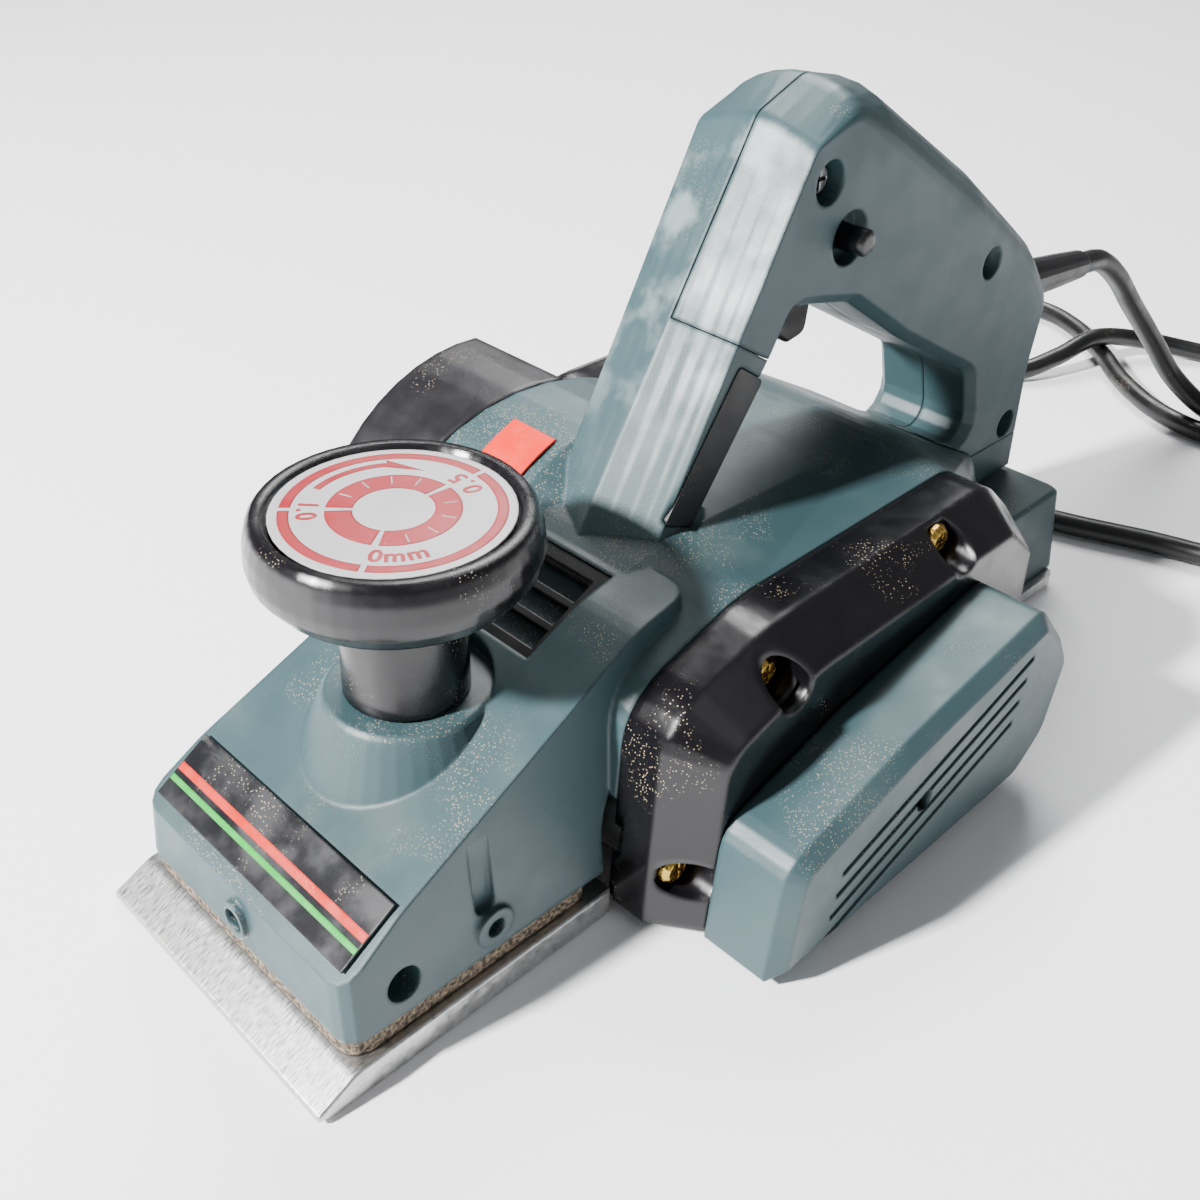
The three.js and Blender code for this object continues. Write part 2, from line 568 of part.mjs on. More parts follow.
function beltCover() {
  const start = COVER_FACE + GAP;
  const body = across([
    [start, beltRim()], [BELT_FACE - 3.4, beltRim()], [BELT_FACE - 0.6, beltRim(3.2)], [BELT_FACE, beltRim(4)],
  ]);
  const hollow = across([
    [start - 1, beltRim(BELT_WALL)], [BELT_FACE - BELT_WALL - 2, beltRim(BELT_WALL)], [BELT_FACE - BELT_WALL, beltRim(5)],
  ]);
  const lean = Math.atan2(23.4, 73.5);
  const pitch = 6.2;
  const slots = [0, 1, 2, 3].map((row) => {
    const drop = row * pitch;
    return box(-37.5, 37.5, BELT_FACE - 8, BELT_FACE + 5, -0.9, 0.9)
      .rotate([0, THREE.MathUtils.radToDeg(lean), 0])
      .translate([51 + drop * 0.18, 0, 36.2 - drop]);
  });
  const [screwX, screwZ] = beltScrewPlace;
  const post = rod(screwX, screwZ, 4.6, start, BELT_FACE - 1, 18);
  return cut(union(cut(body, hollow), post), ...slots, rod(screwX, screwZ, 2.9, BELT_FACE - 4, 100, 18),
    rod(screwX, screwZ, 1.6 + GAP, 0, 100, 14));
}
const beltScrewPlace = [55.9, 26.9];

// Pan head screw along Y with its head outwards.
function panScrew([x, z], headBottom, headRadius, shankRadius, length) {
  const height = headRadius * 0.6;
  const body = turned(x, z, [
    [0, headBottom - length], [shankRadius, headBottom - length + 1], [shankRadius, headBottom],
    [headRadius, headBottom], [headRadius, headBottom + height * 0.5], [headRadius * 0.72, headBottom + height],
    [0, headBottom + height],
  ], 12);
  const arm = headRadius * 0.62;
  const blade = (sx, sz) => box(x - sx, x + sx, headBottom + height * 0.45, headBottom + 9, z - sz, z + sz);
  return cut(body, blade(arm, 0.42), blade(0.42, arm));
}

// ---------------------------------------------------------------- right side
function chipChute() {
  const tube = cut(across([[-CHUTE_REACH, ductOutline(0.8)], [-CHUTE_REACH + 0.8, ductOutline()], [-20, ductOutline()]]),
    across([[-CHUTE_REACH - 1, ductOutline(CHUTE_WALL)], [0, ductOutline(CHUTE_WALL)]]));
  return tube.intersect(seamCut(GAP));
}

const endCoverBack = coverFront - 144;
const endCoverRim = outlineOf([
  [49, 12, 7], [49, 60, 12], [30, 72.6, 20], [coverFront - 124, 72.6, 14], [endCoverBack + 4, 58, 12],
  [endCoverBack, 12, 7],
], 4);
const endCoverReach = 76;
function motorEndCover() {
  const body = across([
    [-endCoverReach, endCoverRim(6)], [-endCoverReach + 1, endCoverRim(4.6)], [-endCoverReach + 6, endCoverRim(1)],
    [-endCoverReach + 9, endCoverRim()], [-RIGHT_WALL - GAP, endCoverRim()],
  ]);
  const hollow = across([
    [-endCoverReach + 8, endCoverRim(COVER_WALL + 3)], [-endCoverReach + 12, endCoverRim(COVER_WALL)],
    [-RIGHT_WALL + 1, endCoverRim(COVER_WALL)],
  ]);
  const seat = rod(motorX, motorZ, 14, -endCoverReach + 3, -62, 28);
  const bore = rod(motorX, motorZ, 11 + GAP, -70.4, -50, 28);
  const end = rod(motorX, motorZ, MOTOR_SHAFT_RADIUS + RUN, -73, -50, 20);
  const vents = [0, 1, 2, 3, 4].map((row) => box(motorX - 20, motorX + 20, -90, -68, 18 + 8 * row, 20.6 + 8 * row)
    .subtract(rod(motorX, motorZ, 15, -90, -60, 24)));
  return cut(union(cut(body, hollow, ...vents), seat), bore, end);
}

// ---------------------------------------------------------------- drive train
function cutterDrum() {
  const blank = rod(cutterX, cutterZ, DRUM_RADIUS, -drumHalf, drumHalf, 36);
  const shaft = turned(cutterX, cutterZ, [
    [0, -drumHalf - 8.4], [CUTTER_SHAFT_RADIUS - 0.3, -drumHalf - 8.4], [CUTTER_SHAFT_RADIUS - 0.3, 0],
    [CUTTER_SHAFT_RADIUS - 0.3, 79], [0, 79],
  ], 24);
  const gullets = [0, 180].map((turn) => slab(rounded([[2, 24], [2, 12.4], [-9, 12.4, 5], [-15, 24]], 3), -60, 60)
    .rotate([0, turn, 0]).translate([cutterX, 0, cutterZ]));
  return union(cut(blank, ...gullets), shaft);
}

function bladeAt(turn) {
  return box(1.6 - BLADE_THICK, 1.6, -drumHalf, drumHalf, 12.7, CUT_RADIUS - 0.1)
    .rotate([0, turn, 0]).translate([cutterX, 0, cutterZ]);
}

function bladeClampAt(turn) {
  const back = 1.6 - BLADE_THICK - GAP;
  return slab(rounded([[back, 12.7], [back, 19], [back - 1, 19.4, 0.8], [back - 4.5, 12.7]], 2), -drumHalf, drumHalf)
    .rotate([0, turn, 0]).translate([cutterX, 0, cutterZ]);
}

const bearingBore = 0.05;
function bearing(x, z, bore, y0, outer = 11, width = 7) {
  const y1 = y0 + width;
  return turned(x, z, [
    [bore + bearingBore, y0], [outer, y0], [outer, y1], [outer - 2.2, y1], [outer - 2.4, y1 - 0.5],
    [bore + 2.2, y1 - 0.5], [bore + 2, y1], [bore + bearingBore, y1], [bore + bearingBore, y0],
  ], 24);
}

const pulleyStart = COVER_FACE + 4;
const pulleyEnd = pulleyStart + 11;
function pulley([x, z], radius, bore) {
  const ribs = 4;
  const profile = [[bore + bearingBore, pulleyStart], [radius + 1.4, pulleyStart], [radius + 1.4, pulleyStart + 1]];
  const pitch = (pulleyEnd - pulleyStart - 2) / ribs;
  for (let rib = 0; rib < ribs; rib += 1) {
    const y = pulleyStart + 1 + rib * pitch;
    profile.push([radius - 0.8, y], [radius, y + pitch / 2]);
  }
  profile.push([radius - 0.8, pulleyEnd - 1], [radius + 1.4, pulleyEnd - 1], [radius + 1.4, pulleyEnd], [bore + bearingBore, pulleyEnd],
    [bore + bearingBore, pulleyStart]);
  return turned(x, z, profile, 24);
}

// Loop round both pulleys at a distance from their rims: two arcs and two tangents.
function loop(distance, steps = 12) {
  const [x0, z0] = beltCentres.front;
  const [x1, z1] = beltCentres.back;
  const direction = Math.atan2(z1 - z0, x1 - x0);
  const span = Math.hypot(x1 - x0, z1 - z0);
  const spread = Math.acos((CUTTER_PULLEY_RADIUS - DRIVE_PULLEY_RADIUS) / span);
  const points = [];
  const arc = (x, z, radius, from, to) => {
    for (let step = 0; step <= steps; step += 1) {
      const angle = from + ((to - from) * step) / steps;
      points.push(new THREE.Vector2(x + radius * Math.cos(angle), z + radius * Math.sin(angle)));
    }
  };
  arc(x0, z0, CUTTER_PULLEY_RADIUS + distance, direction + spread, direction + 2 * Math.PI - spread);
  arc(x1, z1, DRIVE_PULLEY_RADIUS + distance, direction - spread, direction + spread);
  return points;
}

function driveBelt() {
  const from = pulleyStart + 1.4;
  const to = pulleyEnd - 1.4;
  return cut(slab(loop(GAP + BELT_THICK), from, to), slab(loop(GAP), from - 1, to + 1));
}

function armature() {
  return turned(motorX, motorZ, [
    [0, -70], [MOTOR_SHAFT_RADIUS, -70], [MOTOR_SHAFT_RADIUS, -59.5], [10.5, -59.5], [10.5, -46],
    [6, -45.5], [6, -38], [11, -36], [15, -24], [ARMATURE_RADIUS, -22], [ARMATURE_RADIUS, 20],
    [15, 22], [10, 30], [MOTOR_SHAFT_RADIUS, 30], [MOTOR_SHAFT_RADIUS, 79], [0, 79],
  ], 24);
}

function fan() {
  const hub = ringAcross(motorX, motorZ, 24, MOTOR_SHAFT_RADIUS + bearingBore, 36.4, 38, 32);
  const core = ringAcross(motorX, motorZ, 8, MOTOR_SHAFT_RADIUS + bearingBore, 31, 38, 24);
  const vanes = Array.from({ length: 9 }, (_, index) => box(7, 23, 31, 37, -0.7, 0.7)
    .rotate([0, (360 * index) / 9, 0]).translate([motorX, 0, motorZ]));
  return union(hub, core, ...vanes);
}

function stator() {
  const ring = ringAcross(motorX, motorZ, STATOR_RADIUS, ARMATURE_RADIUS + 0.8, -20, 18, 40);
  const coils = [90, 270].map((turn) => slab(rounded([[13, 17.4, 2], [18, 19.5, 2], [18, 24.5, 2], [-18, 24.5, 2],
    [-18, 19.5, 2], [-13, 17.4, 2]], 2), -27, 26).rotate([0, turn - 90, 0]).translate([motorX, 0, motorZ])
    .intersect(rod(motorX, motorZ, STATOR_RADIUS - 0.5, -40, 40, 40)));
  return cut(union(ring, ...coils), rod(motorX, motorZ, ARMATURE_RADIUS + 0.8, -40, 40, 40));
}

function brushHolder(side) {
  const inner = 11;
  return box(motorX + side * (side > 0 ? inner : inner + 10.5), motorX + side * (side > 0 ? inner + 10.5 : inner),
    -57, -48, motorZ - 5, motorZ + 5);
}

// ---------------------------------------------------------------- small visible pieces
function depthKnob() {
  return spun(KNOB_X, 0, [
    [SCREW_RADIUS + bearingBore, BOSS_TOP - 3.4], [KNOB_NECK_RADIUS - 2.4, BOSS_TOP - 3.4],
    [KNOB_NECK_RADIUS - 2.4, BOSS_TOP + 0.6], [KNOB_NECK_RADIUS, BOSS_TOP + 0.8], [KNOB_NECK_RADIUS - 0.4, KNOB_TOP - 24],
    [KNOB_NECK_RADIUS + 1.6, KNOB_TOP - 20.5], [22, KNOB_TOP - 18.2], [27, KNOB_TOP - 15.6],
    [KNOB_RADIUS - 0.5, KNOB_TOP - 11.5], [KNOB_RADIUS, KNOB_TOP - 8.5], [KNOB_RADIUS - 0.4, KNOB_TOP - 4.5],
    [KNOB_RADIUS - 1.4, KNOB_TOP - 1.2], [KNOB_RADIUS - 2.4, KNOB_TOP], [DIAL_RADIUS + 1.4, KNOB_TOP],
    [DIAL_RADIUS + 0.4, KNOB_TOP - 1.6], [SCREW_RADIUS + bearingBore, KNOB_TOP - 1.6],
    [SCREW_RADIUS + bearingBore, BOSS_TOP - 3.4],
  ], 48);
}

function depthScrew() {
  return spun(KNOB_X, 0, [
    [0, FRONT_SOLE_THICK + 6], [SCREW_RADIUS - 0.8, FRONT_SOLE_THICK + 6], [SCREW_RADIUS, FRONT_SOLE_THICK + 7],
    [SCREW_RADIUS, KNOB_TOP - 2.4], [0, KNOB_TOP - 2.4],
  ], 20);
}

// Compression spring round the shoe's post, as a closed helix of round wire.
function depthSpring() {
  const radius = shoePostRadius + 2.2;
  const turns = 4;
  const low = FRONT_SOLE_THICK + 1.6;
  const high = shoePostTop + 3.8;
  const points = Array.from({ length: turns * 10 + 1 }, (_, step) => {
    const angle = (2 * Math.PI * step) / 10;
    return new THREE.Vector3(radius * Math.cos(angle), radius * Math.sin(angle), low + ((high - low) * step) / (turns * 10));
  });
  const wire = new THREE.Shape(circle(0, 0, 1, 6));
  const path = new THREE.CatmullRomCurve3(points);
  return solid(new THREE.ExtrudeGeometry(wire, { steps: turns * 10, bevelEnabled: false, extrudePath: path }))
    .translate([KNOB_X, 0, 0]);
}

function windowGrille() {
  const { length, half, depth } = windowSize;
  const plate = box(-length / 2, length / 2, -half, half, -depth, -depth + 2.6);
  const rim = box(-length / 2, length / 2, -half, half, -depth, -0.6);
  const inner = box(-length / 2 + 3, length / 2 - 3, -half + 3, half - 3, -depth + 1.4, 5);
  const holes = [-1, 0, 1].map((row) => box(row * 7.2 - 2.7, row * 7.2 + 2.7, -half + 4, half - 4, -depth - 1, 5));
  return cut(union(plate, cut(rim, inner)), ...holes)
    .rotate([0, windowLean, 0]).translate([windowPlace[0], 0, windowPlace[1]]);
}

function noseBadge() {
  return box(-8.2, 8.2, -35, 35, GAP, GAP + 0.5).rotate([0, 33, 0]).translate([noseFront - 10.4, 0, NOSE_FACE_TOP + 5.3]);
}

function humpSticker() {
  const from = 53.5;
  const steps = 5;
  const arc = (radius) => Array.from({ length: steps + 1 }, (_, step) => {
    const angle = THREE.MathUtils.degToRad(from + (18 * step) / steps);
    return new THREE.Vector2(CHUTE_CENTRE_X + radius * Math.cos(angle), CHUTE_CENTRE_Z + radius * Math.sin(angle));
  });
  const outline = [...arc(CHUTE_RADIUS + GAP + 0.5), ...arc(CHUTE_RADIUS + GAP).reverse()];
  return slab(outline, -37, -22);
}

function trigger() {
  const [x0, x1] = triggerBox.x;
  const [z0, z1] = triggerBox.z;
  const outline = rounded([
    [x0 + 1, z0 + 10], [x0 + 1, z1], [x1 - 1, z1], [x1 - 1, z0 + 4, 2], [x1 - 7, z0, 3], [x0 + 2, z0 + 1, 3],
  ], 3);
  return slab(outline, -triggerBox.half, triggerBox.half, 0.8);
}

function lockButton() {
  const [x, z] = lockPlace;
  return turned(x, z, [
    [0, switchBox.half + 4], [3.2, switchBox.half + 4], [3.2, HANDLE_HALF + 4.6], [2.4, HANDLE_HALF + 5.4],
    [0, HANDLE_HALF + 5.4],
  ], 18);
}

function switchBody() {
  const [x0, x1] = switchBox.x;
  const [z0, z1] = switchBox.z;
  return box(x0, x1, -switchBox.half, switchBox.half, z0, z1);
}

// Dark strip let into the left of the leg, below the joint of the handle cover.
const legPanelThick = 1.2;
const legPanelRim = outlineOf([[54.2, 112, 1], [45.4, 106, 1], [67.2, 75.5, 1], [76.6, 79.5, 1]], 2);
function legPanel() {
  return slab(legPanelRim(), HANDLE_HALF - legPanelThick, HANDLE_HALF + 0.2);
}

// ---------------------------------------------------------------- cord
const reliefRoot = [-86, 88.5];
const reliefLength = 57;
const reliefFall = 6; // degrees below the horizontal
function alongRelief(profile) {
  const geometry = new THREE.LatheGeometry(profile.map(([r, y]) => new THREE.Vector2(r, y)), 20);
  geometry.rotateZ(Math.PI / 2);
  return solid(geometry).rotate([0, -reliefFall, 0]).translate([reliefRoot[0], 0, reliefRoot[1]]);
}

function strainRelief() {
  return alongRelief([[0, 0], [7, 0], [7, 8.5], [6.6, 9], [6.2, 22], [5.5, 40], [4.7, reliefLength - 1],
    [4.3, reliefLength], [0, reliefLength]]);
}

function reliefSocket() {
  return alongRelief([[0, -GAP], [7 + GAP, -GAP], [7 + GAP, 30], [0, 30]]);
}

// Free length behind the tool: down from the strain relief, two open loops on the floor, then into the coil.
const FLOOR_Z = CORD_RADIUS + 0.5;
const cordRoute = [
  [-143.6, 0, 82.4], [-158, 0, 80], [-173, 1, 71], [-188, 2.5, 57.5], [-205, 7, 40], [-218, 14, 23],
  [-227, 26, 11], [-232.5, 42, 5.2], [-238, 59.5], [-249.5, 71.5], [-266, 76], [-282, 71.7],
  [-293.7, 60], [-298.5, 42], [-299, 18], [-293, -6], [-276, -26, 8.4], [-254, -35.5, 12.3], [-232, -40.5, 8.2],
  [-215, -48.5], [-202.5, -65.6], [-200.6, -87.3], [-209.8, -107], [-227.6, -119.5], [-249.3, -121.4],
  [-269, -112.2], [-281.5, -94.4], [-284, -72.7], [-276.4, -54.5], [-260, -33.5], [-239, -12], [-224, 12],
  [-220.5, 37], [-227, 61.5],
];
// From the coil past the tail to the plug.
const cordEndRoute = [
  [-137.5, 89, 8], [-135, 73, 4.8], [-130, 55], [-118, 25], [-109, -14], [-101, -46], [-82, -75], [-46, -92],
];
const coil = { x: -194, y: 116, rim: 53.5, turns: 5.6 };

function tubeAlong(route, steps) {
  const places = route.map(([x, y, z = FLOOR_Z]) => new THREE.Vector3(x, y, z));
  const path = new THREE.CatmullRomCurve3(places, false, 'centripetal');
  const section = new THREE.Shape(circle(0, 0, CORD_RADIUS, 8));
  return solid(new THREE.ExtrudeGeometry(section, { steps, bevelEnabled: false, extrudePath: path }));
}

// Two layers of turns, a cord's width apart.
function cordCoil() {
  const outer = coil.rim + CORD_RADIUS;
  const inner = coil.rim - coil.turns * CORD_RADIUS - CORD_RADIUS;
  const height = 4 * CORD_RADIUS + 0.4;
  return spun(coil.x, coil.y, [
    [inner + 2, 0.1], [outer - 2, 0.1], [outer, 2.1], [outer, height - 2], [outer - 2, height], [inner + 2, height],
    [inner, height - 2], [inner, 2.1], [inner + 2, 0.1],
  ], 32);
}

const plugLength = 40;
function plug() {
  const pinPitch = 12.7;
  const body = slab(rounded([[-7, 0, 3], [7, 0, 3], [14, 9, 4], [13, plugLength, 4], [-13, plugLength, 4], [-14, 9, 4]], 3),
    0, 17, 2);
  const pins = [-pinPitch / 2, pinPitch / 2].map((offset) => box(offset - 3.1, offset + 3.1, 7.75, 9.25,
    plugLength - 1, plugLength + 17));
  const [from, to] = cordEndRoute.slice(-2);
  const heading = Math.atan2(to[1] - from[1], to[0] - from[0]);
  return union(body, ...pins).rotate([90, 0, 0]).translate([0, -GAP, 0]).rotate([180, 0, 0])
    .translate([0, 0, 17]).rotate([0, 0, THREE.MathUtils.radToDeg(heading) - 90]).translate([to[0], to[1], 0]);
}

// ---------------------------------------------------------------- assembly
add('rear_base', rearBase(), aluminium);
add('front_base', frontBase(), aluminium);
add('nose_seal', noseSeal(), { color: 0x4b443d, roughness: 1.0 });
const panelPocket = slab(legPanelRim(-GAP), HANDLE_HALF - legPanelThick - GAP, 40);
add('main_housing', cut(housing(), panelPocket, reliefSocket()), teal);
add('handle_cover', cut(handleCover(), panelPocket, reliefSocket()), teal);
add('leg_panel', legPanel(), softBlack);
add('window_grille', windowGrille(), softBlack);
add('side_cover', sideCover(), black);
coverScrews.forEach((place, index) => {
  add(`side_cover_screw_${index + 1}`, panScrew(place, COVER_FACE - COVER_WELL + GAP, 3.9, 2, 10), brass);
});
add('belt_cover', beltCover(), teal);
add('belt_cover_screw', panScrew(beltScrewPlace, BELT_FACE - 4 + GAP, 2.5, 1.4, 16), steel);
add('chip_chute', chipChute(), black);
add('motor_end_cover', motorEndCover(), black);
handleScrews.forEach(({ name, x, z, radius }) => {
  add(name, panScrew([x, z], HANDLE_HALF - 6 + GAP, radius - 1, 1.6, 18), steel);
});

add('depth_knob', depthKnob(), black);
add('knob_dial', spun(KNOB_X, 0, [[0, KNOB_TOP - 1.3], [DIAL_RADIUS, KNOB_TOP - 1.3], [DIAL_RADIUS, KNOB_TOP - 0.8],
  [0, KNOB_TOP - 0.8]], 48), { color: 0xcdc8ca, roughness: 0.35, metalness: 0.4 });
add('depth_screw', depthScrew(), steel);
add('depth_spring', depthSpring(), steel);
add('nose_badge', noseBadge(), { color: 0x15131a, roughness: 0.3 });
add('hump_sticker', humpSticker(), { color: 0xf05a30, roughness: 0.5 });
add('trigger', trigger(), black);
add('lock_button', lockButton(), black);
add('switch_body', switchBody(), softBlack);

add('cutter_drum', cutterDrum(), steel);
[['1', 0], ['2', 180]].forEach(([label, turn]) => {
  add(`blade_${label}`, bladeAt(turn), steel);
  add(`blade_clamp_${label}`, bladeClampAt(turn), steel);
});
add('cutter_bearing_left', bearing(cutterX, cutterZ, CUTTER_SHAFT_RADIUS - 0.3, COVER_SEAM + 6), steel);
add('cutter_bearing_right', bearing(cutterX, cutterZ, CUTTER_SHAFT_RADIUS - 0.3, -drumHalf - 7.6, 9.5, 6), steel);
add('cutter_pulley', pulley(beltCentres.front, CUTTER_PULLEY_RADIUS, CUTTER_SHAFT_RADIUS - 0.3), steel);
add('drive_pulley', pulley(beltCentres.back, DRIVE_PULLEY_RADIUS, MOTOR_SHAFT_RADIUS), steel);
add('drive_belt', driveBelt(), rubber);
add('armature', armature(), copper);
add('fan', fan(), softBlack);
add('stator', stator(), steel);
add('motor_bearing_left', bearing(motorX, motorZ, MOTOR_SHAFT_RADIUS, COVER_SEAM + 6), steel);
add('motor_bearing_right', bearing(motorX, motorZ, MOTOR_SHAFT_RADIUS, -69.8), steel);
add('brush_holder_front', brushHolder(1), brass);
add('brush_holder_rear', brushHolder(-1), brass);

add('strain_relief', strainRelief(), rubber);
add('cord', tubeAlong(cordRoute, 56), rubber);
add('cord_coil', cordCoil(), rubber);
add('cord_end', tubeAlong(cordEndRoute, 14), rubber);
add('plug', plug(), rubber);

export default planer;
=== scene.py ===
"""Looks for an electric hand planer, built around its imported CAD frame. Lengths are in metres."""
import math

import bmesh
import bpy
from mathutils import Matrix, Vector


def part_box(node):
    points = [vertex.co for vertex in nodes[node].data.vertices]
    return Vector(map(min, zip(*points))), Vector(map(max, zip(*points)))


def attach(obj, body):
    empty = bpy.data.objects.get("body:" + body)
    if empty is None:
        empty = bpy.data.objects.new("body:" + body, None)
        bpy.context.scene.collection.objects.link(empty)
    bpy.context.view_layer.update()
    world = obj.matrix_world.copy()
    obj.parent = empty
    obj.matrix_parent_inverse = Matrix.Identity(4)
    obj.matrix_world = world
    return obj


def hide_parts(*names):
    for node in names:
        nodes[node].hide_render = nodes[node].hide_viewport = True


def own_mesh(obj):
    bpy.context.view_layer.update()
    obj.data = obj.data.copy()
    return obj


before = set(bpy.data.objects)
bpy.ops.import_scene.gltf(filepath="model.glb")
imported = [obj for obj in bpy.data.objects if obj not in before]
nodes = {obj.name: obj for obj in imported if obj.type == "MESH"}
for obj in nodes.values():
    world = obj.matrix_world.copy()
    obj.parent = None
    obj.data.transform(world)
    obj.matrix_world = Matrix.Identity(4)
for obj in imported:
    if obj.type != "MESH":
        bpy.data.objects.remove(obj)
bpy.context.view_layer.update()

# ---------------------------------------------------------------- camera
CAMERA_PLACE = (0.26984, 0.18668, 0.23748)
CAMERA_AZIMUTH = -2.366
CAMERA_FALL = 0.609
CAMERA_ROLL = 0.029
CAMERA_LENS = 39.5


def add_camera():
    look = Vector((math.cos(CAMERA_FALL) * math.cos(CAMERA_AZIMUTH),
                   math.cos(CAMERA_FALL) * math.sin(CAMERA_AZIMUTH), -math.sin(CAMERA_FALL)))
    level = look.cross(Vector((0, 0, 1))).normalized()
    upright = level.cross(look)
    right = math.cos(CAMERA_ROLL) * level + math.sin(CAMERA_ROLL) * upright
    up = -math.sin(CAMERA_ROLL) * level + math.cos(CAMERA_ROLL) * upright
    data = bpy.data.cameras.new("camera")
    data.sensor_width = 36
    data.lens = CAMERA_LENS
    data.clip_start = 0.01
    camera = bpy.data.objects.new("camera", data)
    turn = Matrix((right, up, -look)).transposed().to_4x4()
    camera.matrix_world = Matrix.Translation(CAMERA_PLACE) @ turn
    bpy.context.collection.objects.link(camera)
    bpy.context.scene.camera = camera


add_camera()


# ---------------------------------------------------------------- looks
def linear(red, green, blue):
    """A colour given from 0 to 255 as the display shows it, as the shader wants it."""
    def channel(value):
        value = value / 255
        return value / 12.92 if value <= 0.04045 else ((value + 0.055) / 1.055) ** 2.4
    return (channel(red), channel(green), channel(blue), 1)


class Look:
    """One procedural material, its noises placed by the position on the object."""

    def __init__(self, name, roughness=0.5, metallic=0.0, coat=0.0, edge=0.0006):
        self.material = bpy.data.materials.new(name)
        self.material.use_nodes = True
        self.tree = self.material.node_tree
        self.shader = next(n for n in self.tree.nodes if n.type == "BSDF_PRINCIPLED")
        self.shader.inputs["Roughness"].default_value = roughness
        self.shader.inputs["Metallic"].default_value = metallic
        if coat:
            self.shader.inputs["Coat Weight"].default_value = coat
            self.shader.inputs["Coat Roughness"].default_value = 0.12
        self.place = self.add("ShaderNodeTexCoord").outputs["Object"]
        self.normal = self.add("ShaderNodeNewGeometry").outputs["Normal"]
        self.softened = self.add("ShaderNodeBevel", samples=6)
        self.softened.inputs["Radius"].default_value = edge

    def add(self, kind, **settings):
        made = self.tree.nodes.new(kind)
        for key, value in settings.items():
            setattr(made, key, value)
        return made

    def feed(self, socket, value):
        if isinstance(value, bpy.types.NodeSocket):
            self.tree.links.new(value, socket)
        else:
            socket.default_value = value

    def stretched(self, stretch):
        made = self.add("ShaderNodeMapping")
        self.feed(made.inputs["Vector"], self.place)
        made.inputs["Scale"].default_value = stretch
        return made.outputs["Vector"]

    def noise(self, scale, detail=2.0, stretch=None):
        made = self.add("ShaderNodeTexNoise")
        self.feed(made.inputs["Vector"], self.stretched(stretch) if stretch else self.place)
        made.inputs["Scale"].default_value = scale
        made.inputs["Detail"].default_value = detail
        return made.outputs[0]

    def cells(self, scale):
        made = self.add("ShaderNodeTexVoronoi")
        self.feed(made.inputs["Vector"], self.place)
        made.inputs["Scale"].default_value = scale
        return made.outputs["Distance"]

    def span(self, value, low, high, to_low=0.0, to_high=1.0):
        made = self.add("ShaderNodeMapRange", interpolation_type="SMOOTHSTEP")
        for name, number in (("Value", value), ("From Min", low), ("From Max", high),
                             ("To Min", to_low), ("To Max", to_high)):
            self.feed(made.inputs[name], number)
        return made.outputs["Result"]

    def math(self, operation, first, second):
        made = self.add("ShaderNodeMath", operation=operation)
        self.feed(made.inputs[0], first)
        self.feed(made.inputs[1], second)
        return made.outputs[0]

    def times(self, *values):
        total = values[0]
        for value in values[1:]:
            total = self.math("MULTIPLY", total, value)
        return total

    def axis(self, vector, name):
        made = self.add("ShaderNodeSeparateXYZ")
        self.feed(made.inputs[0], vector)
        return made.outputs[name]

    def mix(self, part, first, second):
        made = self.add("ShaderNodeMix", data_type="RGBA")
        self.feed(made.inputs[0], part)
        self.feed(made.inputs[6], first)
        self.feed(made.inputs[7], second)
        return made.outputs[2]

    def colour(self, value):
        self.feed(self.shader.inputs["Base Color"], value)

    def roughness(self, value):
        self.feed(self.shader.inputs["Roughness"], value)

    def bump(self, height, distance, strength=1.0):
        made = self.add("ShaderNodeBump")
        self.feed(made.inputs["Height"], height)
        made.inputs["Distance"].default_value = distance
        made.inputs["Strength"].default_value = strength
        self.feed(made.inputs["Normal"], self.softened.outputs["Normal"])
        self.feed(self.shader.inputs["Normal"], made.outputs["Normal"])

    def specks(self, scale, size, cluster_scale, cluster_low):
        """Sawdust grains: the middles of small cells, where a slow noise lets them gather."""
        grain = self.span(self.cells(scale), size, size * 0.6)
        return self.times(grain, self.span(self.noise(cluster_scale, 4), cluster_low, cluster_low + 0.12))


DUST = linear(196, 178, 146)


def teal_plastic():
    look = Look("teal_plastic", edge=0.0014)
    base = look.mix(look.noise(40, 3), linear(39, 61, 65), linear(50, 73, 77))
    up = look.span(look.axis(look.normal, "Z"), 0.25, 0.8)
    dust = look.times(look.specks(1500, 0.3, 45, 0.5), up, 0.45)
    # Painted highlight: lighter patches on forward-facing faces high up on the handle, where the key light
    # from the front falls.
    forward = look.span(look.axis(look.normal, "X"), 0.45, 0.8)
    high = look.span(look.axis(look.place, "Z"), 0.08, 0.12)
    wear_and_highlight = look.times(look.span(look.noise(75, 9), 0.46, 0.68), forward, high, 0.4)
    # Painted sheen: paler grey patches on upward-facing faces, standing in for the light on the tops.
    top_sheen = look.times(look.span(look.noise(28, 6), 0.48, 0.72), up, 0.1)
    colour = look.mix(top_sheen, base, linear(150, 156, 150))
    colour = look.mix(wear_and_highlight, colour, linear(160, 172, 174))
    look.colour(look.mix(dust, colour, DUST))
    look.roughness(look.math("ADD", look.span(look.noise(90, 4), 0.3, 0.7, 0.4, 0.5), look.times(dust, 0.3)))
    look.bump(look.noise(2600, 2), 0.00006, 0.55)
    return look.material


